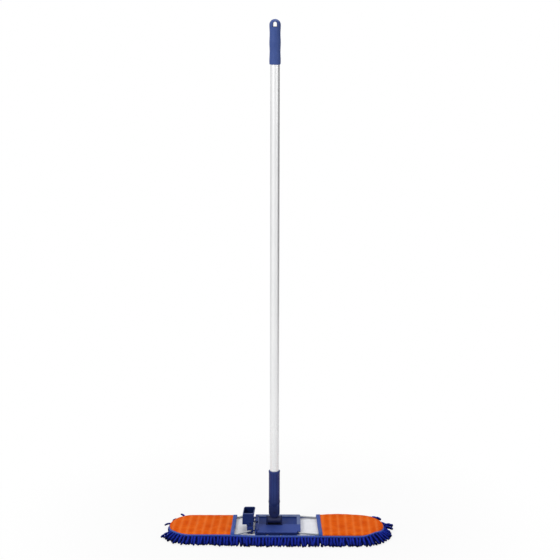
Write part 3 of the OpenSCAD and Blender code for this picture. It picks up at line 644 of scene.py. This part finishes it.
# chenille noodles round the edge and under the cover
def chenilleFinish(look):
    f = Finish("chenillePile")
    flat = f.cloth()  # u along a noodle, v its number plus the height on its round
    u, v, _ = f.axes(flat)
    crest = v % 1.0
    number = v - crest
    second, third = look["layer"] - 0.5, 2 * look["layer"] - 0.5  # where the lower layers start
    one = f.add("ShaderNodeTexWhiteNoise", {"noise_dimensions": "1D"}, {"W": number * 0.371 + 0.5})
    nap = (f.noise(look["nap"], f.stretch(flat, look["napAlong"]), 3.0, 0.7) - 0.5) * look["fuzz"] + 0.5
    tuft = f.noise(look["tuft"], f.stretch(flat, look["tuftAlong"]))
    # painted shade in the grooves between the noodles
    grooveShade = 1 - abs(crest - look["grooveAt"]) * look["grooveSlope"]
    deep = look["deep"]
    base = f.between(one, look)
    base = f.mix(nap * look["napPart"], base, deep)
    base = f.mix(tuft ** 3.0 * look["tipPart"], base, look["tip"])
    # painted highlight along the top of each noodle
    base = f.mix(crest ** 2.0 * look["crestPart"], base, look["crest"])
    base = f.mix(grooveShade * (grooveShade > 0) * look["groovePart"], base, deep)
    # painted shade on the rows behind and below, and on the ends that hang in the dark
    behind, below, ends = look["darker"]
    base = f.mix((number > second) * (number < third) * behind, base, deep)
    base = f.mix((number > third) * below, base, deep)
    base = f.mix(u ** 3.0 * ends, base, deep)
    return f.closeCloth(base, nap * look["napRise"] + tuft * look["tuftRise"], nap, look)


# darker: painted shade on the row behind the top one, on the rows and tufts below, and on the ends that hang
# in the dark
# a row: out and up at the root, out and up at the tip in mm, its shift in pitches, layer and thickness
# sway: how far aside, how fast along a noodle and how far on from one noodle to the next
# a hem change: how much longer, from and over which x it comes, to and over which x it goes
# a stray: its end, then from and to in degrees from the back, mm out and mm high, and its thickness
# crest is the painted highlight on top of each noodle, and the groove values place painted shade between
# noodles
pile = {
    "nap": 30, "napAlong": (1.0, 0.45, 1), "napPart": 0.55, "napRise": 1.1, "fuzz": 2.6,
    "tuft": 16, "tuftAlong": (1.0, 0.3, 1), "tuftRise": 0.5, "tip": (56, 82, 232), "tipPart": 0.8,
    "low": (0, 2, 76), "high": (14, 28, 158), "deep": (0, 0, 20), "darker": (0.85, 0.25, 0.6),
    "crest": (46, 70, 206), "crestPart": 0.5, "grooveAt": 0.42, "grooveSlope": 2.4, "groovePart": 0.95,
    "depth": 1.0 * mm, "bump": 1.0, "rough": 0.88, "roughPart": 0.12, "shine": 0.04, "sheen": 0.06,
    "sheenTint": (30, 60, 210), "thick": 3.55 * mm, "thickSpread": (0.9, 1.08), "pitch": 8.95 * mm,
    "pitchSpread": 0.09, "layer": 4000, "rings": 14, "sides": 9, "lump": 0.16, "wobble": 0.1,
    "wobbleTurns": (16, 24), "anyWay": 6.28, "floor": 3.2 * mm, "lowest": 0.05 * mm,
    "taper": ([0, 0.12, 0.84, 0.95, 1], [0.75, 1, 1, 0.92, 0.58]),
    "rows": [
        (68.2, 11.7, 94.5, 4.6, 0.0, 0, 1.0), (66.2, 8.6, 92.5, 3.6, 0.5, 1, 1.04),
        (59.0, 6.8, 87.0, 3.6, 0.25, 2, 1.04), (47.0, 6.2, 75.0, 3.6, 0.7, 2, 1.04)],
    "leanSpread": 2.0, "dropSpread": 0.6, "reachSpread": (-0.8, 3.4), "reachLimits": (-9.0, 2.4),
    "sway": (0.7 * mm, 6, 2.3), "arch": 1.1, "frontReach": 13.5 * mm, "farthest": 110.8, "backShort": 0.28,
    "backLow": 4.5 * mm, "curlMore": 1.25, "tuckBulge": 2.6, "tuckIn": 13, "tuckFrom": 16,
    "tuckTo": {-1: (108, 127), 1: (64, 112)},
    "hem": [inMm(3.4, -90, 60, 230, 40), inMm(-6.0, -285, 35, -140, 50)],
    "strays": [
        (-1, (22, 25), (67.5, 99), (11.5, 14), 0.8), (-1, (43, 57), (70, 74), (14, 15), 0.6),
        (-1, (68, 73), (67.5, 88), (11.5, 7), 0.75), (-1, (117, 121), (68, 103), (12, 5), 0.85),
        (1, (22, 53), (69, 80), (13.5, 16.5), 1.15), (1, (59, 88), (70, 80), (13, 12), 0.75),
        (1, (76, 82), (68, 97), (13, 12), 1.2), (1, (84, 90), (68, 95), (11, 8), 1.1)],
    "strayBow": 2.5, "tuftPitch": 9.6 * mm, "tuftStray": 1.6, "tuftRings": 6, "tuftTo": 47 * mm,
    "tuftLong": (11, 16), "tuftThick": (0.98, 1.12), "tuftTop": 9.6, "tuftDrop": 6.2,
    "tuftCount": (6, 36), "tuftClose": 0.866,
    "ground": [(64, 11.9), (61, 10.2)] + [(w, 9.8) for w in (55, 47, 39, 31, 23, 15, 7, 0)],
    "knit": inMm(2.9, 3.3), "knitDeep": 0.5}


def tucked(nx, ny):  # round the back of both ends the noodles lie tucked under the cover
    if abs(nx) < 0.05:  # along the straight sides
        return 1.0
    angle = math.degrees(math.atan2(abs(nx), ny))  # from the back
    low, high = pile["tuckTo"][1 if nx > 0 else -1]
    return max(ease((angle - low) / (high - low)), clamp(1 - angle / pile["tuckFrom"]))


def hemShift(x):  # the front hem hangs longer in the middle and shorter on the left
    return sum(more * ease((x - start) / rise) * ease((end - x) / fall)
               for more, start, rise, end, fall in pile["hem"])


def spinPile():
    rng = np.random.default_rng(7)
    sides, thick = pile["sides"], pile["thick"]
    ticks = [k / (pile["rings"] - 1) for k in range(pile["rings"])]
    ways = np.linspace(0, fullTurn, sides, endpoint=False)
    verts, uvs, faces = [], [], []
    nearlyUp = np.array([0.13, 0.21, 1.0])
    made = [0]

    def noodle(path, radius, layer=0):
        path = np.asarray(path)
        t = np.linspace(0, 1, len(path))
        heading = np.gradient(path, axis=0)
        heading /= np.linalg.norm(heading, axis=1)[:, None] + 1e-9
        aside = np.cross(heading, nearlyUp)
        aside /= np.linalg.norm(aside, axis=1)[:, None] + 1e-9
        over = np.cross(aside, heading)
        phase = rng.uniform(0, pile["anyWay"])
        body = np.interp(t, *pile["taper"]) * radius
        body = body * (1 + pile["wobble"] * np.sin(t * rng.uniform(*pile["wobbleTurns"]) + phase))
        faces.extend(tubeFaces(len(path), sides, len(verts)))
        for k in range(len(path)):
            lumps = body[k] * (1 + rng.uniform(-pile["lump"], pile["lump"], sides))
            for q in range(sides):
                p = path[k] + aside[k] * (lumps[q] * cos(ways[q])) + over[k] * (lumps[q] * sin(ways[q]))
                verts.append((p[0], p[1], max(p[2], pile["lowest"])))
                uvs.append((t[k], layer * pile["layer"] + made[0] + 0.5 + 0.48 * sin(ways[q])))
        made[0] += 1

    count = int(lap / pile["pitch"])
    (shortest, longest), (sway, swayTurns, swayEach) = pile["reachLimits"], pile["sway"]
    for w0, z0, w1, z1, shift, layer, fat in pile["rows"]:
        top, outer = layer == 0, layer < 2
        for i in range(count):
            s = (i + shift + rng.uniform(-pile["pitchSpread"], pile["pitchSpread"])) * lap / count
            lean = rng.normal(0, pile["leanSpread"]) * mm
            drop = rng.uniform(-pile["dropSpread"], pile["dropSpread"])
            x0, y0, nx, ny = around(s, w0 * mm)
            front, back = max(0.0, -ny) ** 2, max(0.0, ny)
            reach = (w1 - w0 + max(shortest, min(longest, rng.normal(*pile["reachSpread"])))) * mm
            reach += front * (pile["frontReach"] + hemShift(x0))
            reach = min(reach, (pile["farthest"] - w0) * mm) * (1 - pile["backShort"] * back ** 2)
            free = tucked(nx, ny)
            rise = curlUp(x0, y0) * (pile["curlMore"] if x0 > 0 else 1.0) * outer - pile["backLow"] * back
            path = []
            for t in ticks:
                tuck = (pile["tuckBulge"] * sin(pi * min(1, t * 1.3)) - pile["tuckIn"] * t * t) * mm
                out = reach * t * free + (1 - free) * tuck
                side = lean * t * t + sway * sin(swayTurns * t + i * swayEach)
                z = (z0 + (z1 + drop - z0) * t ** 1.15 + pile["arch"] * sin(pi * min(1, t * 1.6)) * top) * mm
                under = (z0 + (z1 + drop - z0) * sin(pi / 2 * min(1, t * 1.7))) * mm
                z = z * free + under * (1 - free) + rise * (1 - t)
                path.append((x0 + nx * out - ny * side, y0 + ny * out + nx * side, max(z, pile["floor"])))
            noodle(path, thick * rng.uniform(*pile["thickSpread"]) * fat, layer)
    for end, turns, outs, highs, fat in pile["strays"]:  # single noodles that stand off the ends
        path = []
        for t in ticks:
            turn, w, z = (a + (b - a) * t for a, b in (turns, outs, highs))
            nx, ny = end * sin(radians(turn)), cos(radians(turn))
            z += pile["strayBow"] * sin(pi * t)
            path.append((end * cover["endX"] + nx * w * mm, ny * w * mm, z * mm))
        noodle(path, thick * fat)
    pitch, stray = pile["tuftPitch"], pile["tuftStray"]  # tufts all over the underside
    rows, cols = pile["tuftCount"]
    for row in range(-rows, rows + 1):
        for col in range(-cols, cols + 1):
            x0 = (col + 0.5 * (row % 2)) * pitch + rng.uniform(-stray, stray) * mm
            y0 = row * pitch * pile["tuftClose"] + rng.uniform(-stray, stray) * mm
            if math.hypot(max(0.0, abs(x0) - cover["endX"]), y0) > pile["tuftTo"]:
                continue
            way, far = rng.uniform(0, pile["anyWay"]), rng.uniform(*pile["tuftLong"]) * mm
            path = []
            for t in np.linspace(0, 1, pile["tuftRings"]):
                out, z = far * t ** 1.4, pile["tuftTop"] - pile["tuftDrop"] * t ** 0.7
                path.append((x0 + cos(way) * out, y0 + sin(way) * out, z * mm))
            noodle(path, thick * rng.uniform(*pile["tuftThick"]), 2)
    start, (knitX, knitY) = len(verts), pile["knit"]  # knitted ground that the tufts grow from
    for w, z in pile["ground"]:
        for s in steps:
            x, y, _, _ = around(s, w * mm)
            verts.append((x, y, (z + pile["knitDeep"] * sin(x / knitX) * sin(y / knitY)) * mm))
            uvs.append((0.2 + x * 3, 2 * pile["layer"] + 0.5 + y * 30))
    faces += [(b, a, d, c) for a, b, c, d in gridFaces(len(pile["ground"]), len(steps), start=start)]
    piece = buildPiece("chenillePile", verts, faces, uvs, chenilleFinish(pile))
    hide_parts("chenille_main", "chenille_left", "chenille_fold")
    print("chenille noodles", made[0])
    return piece


chenillePile = spinPile()
for piece in (canvasBacking, edgeBinding, chenillePile):  # these lie across the wing's fold
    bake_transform(piece)
halfCut = (cover["endX"] - 119 * mm) * 132 * mm + pi / 2 * cover["edge"] ** 2
0.47 * 0.132 + pi * cover["edge"] ** 2

# the saddle is near black: painted shade under the barrel
# rings in mm: in from the sides, in from front and back, and height, from the foot over the lip inwards
saddle = {
    "low": (10, 13, 30), "high": (16, 20, 42), "cloud": 40, "depth": 0.08 * mm, "round": 0.5 * mm,
    "rough": 0.75, "shine": 0.05, "half": inMm(18.0, 14.5), "corner": 2.5 * mm, "cornerMost": 0.8,
    "cornerSteps": 6, "least": 0.4 * mm,
    "rings": [
        (0.0, 0.0, 24.05), (0.25, 0.9, 25.05), (0.7, 2.2, 26.0), (3.0, 5.0, 26.0), (4.0, 5.8, 25.5),
        (17.0, 13.5, 25.5)]}


def seatJoint():  # low moulded saddle between the cradle's ears, under the barrel
    parts = saddle["cornerSteps"]
    verts, uvs = [], []
    for inX, inY, z in saddle["rings"]:
        halfX, halfY = (max(half - inset * mm, saddle["least"])
                        for half, inset in zip(saddle["half"], (inX, inY)))
        r = min(saddle["corner"], halfX * saddle["cornerMost"], halfY * saddle["cornerMost"])
        cornerX, cornerY = halfX - r, halfY - r
        corners = ((cornerX, cornerY), (-cornerX, cornerY), (-cornerX, -cornerY), (cornerX, -cornerY))
        for q, (cx, cy) in enumerate(corners):
            for k in range(parts + 1):
                a = pi / 2 * (q + k / parts)
                verts.append((poleX + cx + r * cos(a), cy + r * sin(a), z * mm))
                uvs.append((cx, cy))
    faces = tubeFaces(len(saddle["rings"]), 4 * (parts + 1))
    piece = buildPiece("jointSaddle", verts, faces, uvs, moulded("saddleShadeDark", saddle))
    shade(piece.data, False)
    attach(piece, "head")


keenFrom, sharpFrom, flatWithin = (radians(angle) for angle in (40, 32, 1))
joinGap, cutGap = inMm(0.004, 0.01)


# copies of solids, cut at places in mm along each axis and then shifted point by point
def softCopy(name, node, cuts, shift, body, soften=0.0, least=0.0, smooth=True):
    bm = bmesh.new()
    bm.from_mesh(nodes[node].data)
    bmesh.ops.remove_doubles(bm, verts=bm.verts, dist=joinGap)
    if soften:
        bmesh.ops.dissolve_limit(bm, angle_limit=flatWithin, verts=bm.verts, edges=bm.edges)
        keen = [e for e in bm.edges
                if len(e.link_faces) == 2 and e.calc_length() > least and e.calc_face_angle(0) > keenFrom]
        bmesh.ops.bevel(bm, geom=keen, offset=soften, segments=2, profile=0.5, affect="EDGES",
                        clamp_overlap=True)
    for axis, place in ((axis, place) for axis in cuts for place in cuts[axis]):
        level, way = [0.0] * 3, [0.0] * 3
        level[axis], way[axis] = place * mm, 1.0
        everything = bm.verts[:] + bm.edges[:] + bm.faces[:]
        bmesh.ops.bisect_plane(bm, geom=everything, dist=cutGap, plane_co=level, plane_no=way)
    for v in bm.verts:
        v.co = Vector(shift(*v.co))
    mesh = bpy.data.meshes.new(name)
    bm.to_mesh(mesh)
    bm.free()
    mesh.materials.append(nodes[node].data.materials[0])
    shade(mesh, smooth)
    mesh.set_sharp_from_angle(angle=sharpFrom)
    piece = putIn(name, mesh)
    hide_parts(node)
    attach(piece, body)


# overhang: left of which x, at which height, how much lower
# strapX: the wall, the strap's far side, the tooth
# near: how close still counts as at the wall, at the overhang's height and at the right side
tread = {
    "left": -95.5 * mm, "right": -66.5 * mm, "front": -53 * mm, "back": 13 * mm, "low": 47 * mm,
    "full": 60 * mm, "top": 70 * mm, "aside": inMm(3.5, 5.4), "corner": 5.0 * mm, "fade": -22 * mm,
    "fadeEnd": 4 * mm, "round": 0.6 * mm, "shortest": 1.3 * mm, "wider": 2.0 * mm, "widerFrom": -80 * mm,
    "overhang": inMm(-83, 45, 2.2), "strapX": inMm(-66.5, -63.1, -57.5), "strapThin": -63.7 * mm,
    "strapY": 6 * mm, "strapPart": 0.42, "strapZ": inMm(29, 47.5), "strapTop": 42.5 * mm,
    "near": inMm(0.2, 1.0, 0.1),
    "cuts": {
        2: (47, 60, 65), 1: (-22, -15, -8, -1, 5, 9),
        0: (-95.0, -94.2, -93.0, -91.5, -90.0, -72.0, -70.5, -69.0, -67.8, -67.0)}}


def slimHook(x, y, z):  # the hook is a thin strap, so that the gap beside the plate stays open
    (wall, leg, tooth), thin, middle = tread["strapX"], tread["strapThin"], tread["strapY"]
    low, high = tread["strapZ"]
    if x < wall + tread["near"][0]:
        return x, y, z
    if x < leg:
        x = wall + (x - wall) * (thin - wall) / (leg - wall)
    elif x < tooth:
        x = thin + (x - leg) * (tooth - thin) / (tooth - leg)
    if z > low:
        z = low + (z - low) * (tread["strapTop"] - low) / (high - low)
    return x, middle + (y - middle) * tread["strapPart"], z


def bendTread(x, y, z):  # the back wall stands a little to the right, with rounded top corners
    x, y, z = slimHook(x, y, z)
    t = tread
    edge, level, lower = t["overhang"]  # the left end hangs lower over the bar
    if x < edge and abs(z - level) < t["near"][1]:
        z -= lower
    out = 0.0
    if x < t["right"] + t["near"][2]:
        out = t["wider"] * max(0.0, (x - t["widerFrom"]) / (t["right"] - t["widerFrom"]))
    d = max(0.0, t["corner"] - max(0.0, min(x - t["left"], t["right"] - x)))
    drop = t["corner"] - math.sqrt(t["corner"] ** 2 - d * d)
    drop *= ease((y - t["fade"]) / (t["back"] - t["fade"] - t["fadeEnd"]))
    z -= drop * max(0.0, (z - t["full"]) / (t["top"] - t["full"]))
    toLeft, toRight = t["aside"]
    aside = toLeft + (toRight - toLeft) * clamp((x - t["left"]) / (t["right"] - t["left"]))
    part = clamp((y - t["front"]) / (t["back"] - t["front"]))
    return x + out + aside * part * max(0.0, (z - t["low"]) / (t["top"] - t["low"])), y, z


softCopy("treadPedal", "release_pedal", tread["cuts"], bendTread, "pedal",
         tread["round"], tread["shortest"])

hang = {
    "half": 6.25 * mm, "arcZ": 1415.95 * mm, "floor": 1408.5 * mm, "waist": 1.7 * mm, "deep": 13.4 * mm,
    "archPart": 0.5, "floorPart": 0.4, "near": 0.06 * mm, "cuts": {1: (-10, -7, -4, 0, 4, 7, 10)}}


def waistHole(x, y, z):  # the hang hole narrows towards the middle of the grip
    half, floor, near = hang["half"], hang["floor"], hang["near"]
    pull = hang["waist"] * max(0.0, 1 - (y / hang["deep"]) ** 2)
    dx, dz = x - poleX, z - hang["arcZ"]
    far = math.hypot(dx, dz)
    if dz > 0 and abs(far - half) < near:
        return poleX + dx * (1 - pull / far), y, hang["arcZ"] + dz * (1 - hang["archPart"] * pull / far)
    if dz <= 0 and abs(abs(dx) - half) < near and z > floor - near:
        dx -= math.copysign(pull, dx)
    if abs(z - floor) < near and abs(dx) < half + near:
        if abs(abs(dx) - half) > near and abs(dx) > half - pull:
            dx *= 1 - pull / half
        z += hang["floorPart"] * pull
    return poleX + dx, y, z


softCopy("mouldedGrip", "hand_grip", hang["cuts"], waistHole, "handle")

neck = {
    "x": inMm(-65.2, -60.3), "z": 22.5 * mm, "y": 44 * mm, "tall": 0.4, "wide": 0.4,
    "cuts": {0: (-65.7, -65.0, -60.5, -59.8)}}


def thinNecks(x, y, z):  # only thin links cross the gap between the bar and the plate
    if neck["x"][0] < x < neck["x"][1]:
        mid = math.copysign(neck["y"], y)
        return x, mid + (y - mid) * neck["wide"], neck["z"] + (z - neck["z"]) * neck["tall"]
    return x, y, z


softCopy("linkedBar", "hinge_bar", neck["cuts"], thinNecks, "left_wing", smooth=False)

fork = {
    "wider": 0.065, "foot": inMm(50, 62), "neck": inMm(88, 101), "bore": inMm(5, 11),
    "cuts": {2: (70, 80, 88, 91, 94, 97, 101)}}


def spreadFork(x, y, z):  # the fork is as wide as the socket above it
    dx = x - poleX
    (low, lowEnd), (high, highEnd), (inner, outer) = fork["foot"], fork["neck"], fork["bore"]
    share = ease((z - low) / (lowEnd - low)) * ease((highEnd - z) / (highEnd - high))
    share *= ease((abs(dx) - inner) / (outer - inner))
    return x + dx * fork["wider"] * share, y, z


softCopy("forkSocket", "pole_socket", fork["cuts"], spreadFork, "handle")
print("tread, grip, bar and socket softened")

lid = {
    "x": inMm(57.2, 67.5), "y": inMm(52.7, 61), "z": inMm(23.75, 26.5), "round": 4 * mm, "soft": 0.7 * mm,
    "foot": 0.4 * mm, "cornerSteps": 8}


def closeCorner():  # the plate's back corner covers the end of the right wire
    (x0, x1), (y0, y1), (z0, z1) = lid["x"], lid["y"], lid["z"]
    foot, soft, parts = lid["foot"], lid["soft"], lid["cornerSteps"]
    levels = [(foot, z0), (0.0, z0 + foot), (0.0, z1 - soft), (0.3 * soft, z1 - 0.3 * soft), (soft, z1)]
    points = []
    for inset, z in levels:
        r = lid["round"] - inset
        ring = [(x0, y0), (x1 - inset, y0)]
        for k in range(parts + 1):
            a = pi / 2 * k / parts
            ring.append((x1 - lid["round"] + r * cos(a), y1 - lid["round"] + r * sin(a)))
        ring.append((x0, y1 - inset))
        points += [(x, y, z) for x, y in ring]
    faces = tubeFaces(len(levels), len(ring))
    flat = [(x, y) for x, y, _ in points]
    mat = nodes["centre_plate"].data.materials[0]
    piece = buildPiece("cornerLid", points, faces, flat, mat)
    piece.data.set_sharp_from_angle(angle=sharpFrom)
    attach(piece, "head")


# a copy of the spring takes the part's place; one of its legs sits on the bar and the other on the pedal
coil = {"from": inMm(-74.3, -14.4, 45), "to": inMm(-74.3, -7.6, 45)}
pedalCoil = putIn("pedalCoil", nodes["pedal_spring"].data.copy())
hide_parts("pedal_spring")
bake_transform(pedalCoil)
seatJoint()
closeCorner()

# glow: the floor's white near the mop, then from and to which distance it turns full white
studio = {
    "floor": (238, 238, 238), "floorHalf": 30.0, "floorZ": -0.5 * mm, "glow": (0.84, 0.25, 0.9),
    "fill": 0.46, "target": (0, 0, 0.55),
    "lamps": [
        ("keyLamp", (-2.6, -3.0, 3.0), 2.0, 88), ("sideLamp", (2.8, -2.2, 1.8), 1.8, 16),
        ("topLamp", (0.3, 1.2, 3.6), 2.4, 40)],
    "card": [(1.7, -0.3, -0.1), (1.7, 3.4, -0.1), (1.7, 3.4, 2.6), (1.7, -0.3, 2.6)],
    "cardLook": {"low": (20, 20, 22), "high": (30, 30, 33), "rough": 0.9, "speck": 3.0}}


def standSheet(name, corners, mat):
    mesh = bpy.data.meshes.new(name)
    mesh.from_pydata(corners, [], [(0, 1, 2, 3)])
    mesh.materials.append(mat)
    sheet = putIn(name, mesh)
    return sheet


def floorFinish():  # the shadow shows round the mop and the floor turns white further out
    f = Finish("paleFloor")
    near, start, end = studio["glow"]
    ray = f.add("ShaderNodeLightPath", {}, {}, "Is Camera Ray")
    far = f.add("ShaderNodeVectorMath", {"operation": "LENGTH"}, {0: f.spot()}, "Value")
    matte = f.add("ShaderNodeBsdfDiffuse", {}, {"Color": tint(*studio["floor"])})
    bright = f.add("ShaderNodeEmission", {}, {"Color": white, "Strength": 1.0})
    glow = ray * f.fade(far, start, end, near, 1.0)
    both = f.add("ShaderNodeMixShader", {}, {0: glow, 1: matte, 2: bright})
    f.add("ShaderNodeOutputMaterial", {}, {"Surface": both})
    return f.owner


def cardFinish(look):
    f = Finish("darkCard")
    return f.close(f.between(f.noise(look["speck"], f.spot()), look), look["rough"], {})


def setStudio():
    half, z = studio["floorHalf"], studio["floorZ"]
    corners = [(-half, -half, z), (half, -half, z), (half, half, z), (-half, half, z)]
    standSheet("paleFloor", corners, floorFinish())
    # a card that shades the pole's right edge
    card = standSheet("darkCard", studio["card"], cardFinish(studio["cardLook"]))
    card.visible_camera = card.visible_diffuse = card.visible_shadow = False
    for name, place, width, power in studio["lamps"]:
        lamp = bpy.data.lights.new(name, "AREA")
        lamp.shape, lamp.size, lamp.energy = "DISK", width, power
        holder = putIn(name, lamp)
        holder.location = place
        holder.rotation_euler = (Vector(studio["target"]) - Vector(place)).to_track_quat("-Z", "Y").to_euler()
    room = Finish("softRoom", "worlds")
    bpy.context.scene.world = room.owner
    seen, glossy, through = (room.add("ShaderNodeLightPath", {}, {}, "Is %s Ray" % kind)
                             for kind in ("Camera", "Glossy", "Transmission"))
    dim, bright = (room.add("ShaderNodeBackground", {}, {"Color": white, "Strength": level})
                   for level in (studio["fill"], 1.0))
    both = room.add("ShaderNodeMixShader", {}, {0: seen + glossy + through, 1: dim, 2: bright})
    room.add("ShaderNodeOutputWorld", {}, {"Surface": both})


shot = {
    "place": (0.008, -3.59, 1.574), "pitch": 76.807, "roll": 0.15, "lens": 87.4, "sensor": 36.0,
    "farthest": 100}


def setCamera():
    cam = bpy.data.cameras.new("photoCamera")
    cam.lens, cam.sensor_width, cam.clip_end = shot["lens"], shot["sensor"], shot["farthest"]
    holder = putIn("photoCamera", cam)
    holder.location = shot["place"]
    tip = Matrix.Rotation(radians(shot["pitch"]), 3, "X") @ Matrix.Rotation(radians(shot["roll"]), 3, "Z")
    holder.rotation_euler = tip.to_euler()
    bpy.context.scene.camera = holder
    bpy.context.scene.view_settings.view_transform = "Standard"


setStudio()
setCamera()
print("studio set")
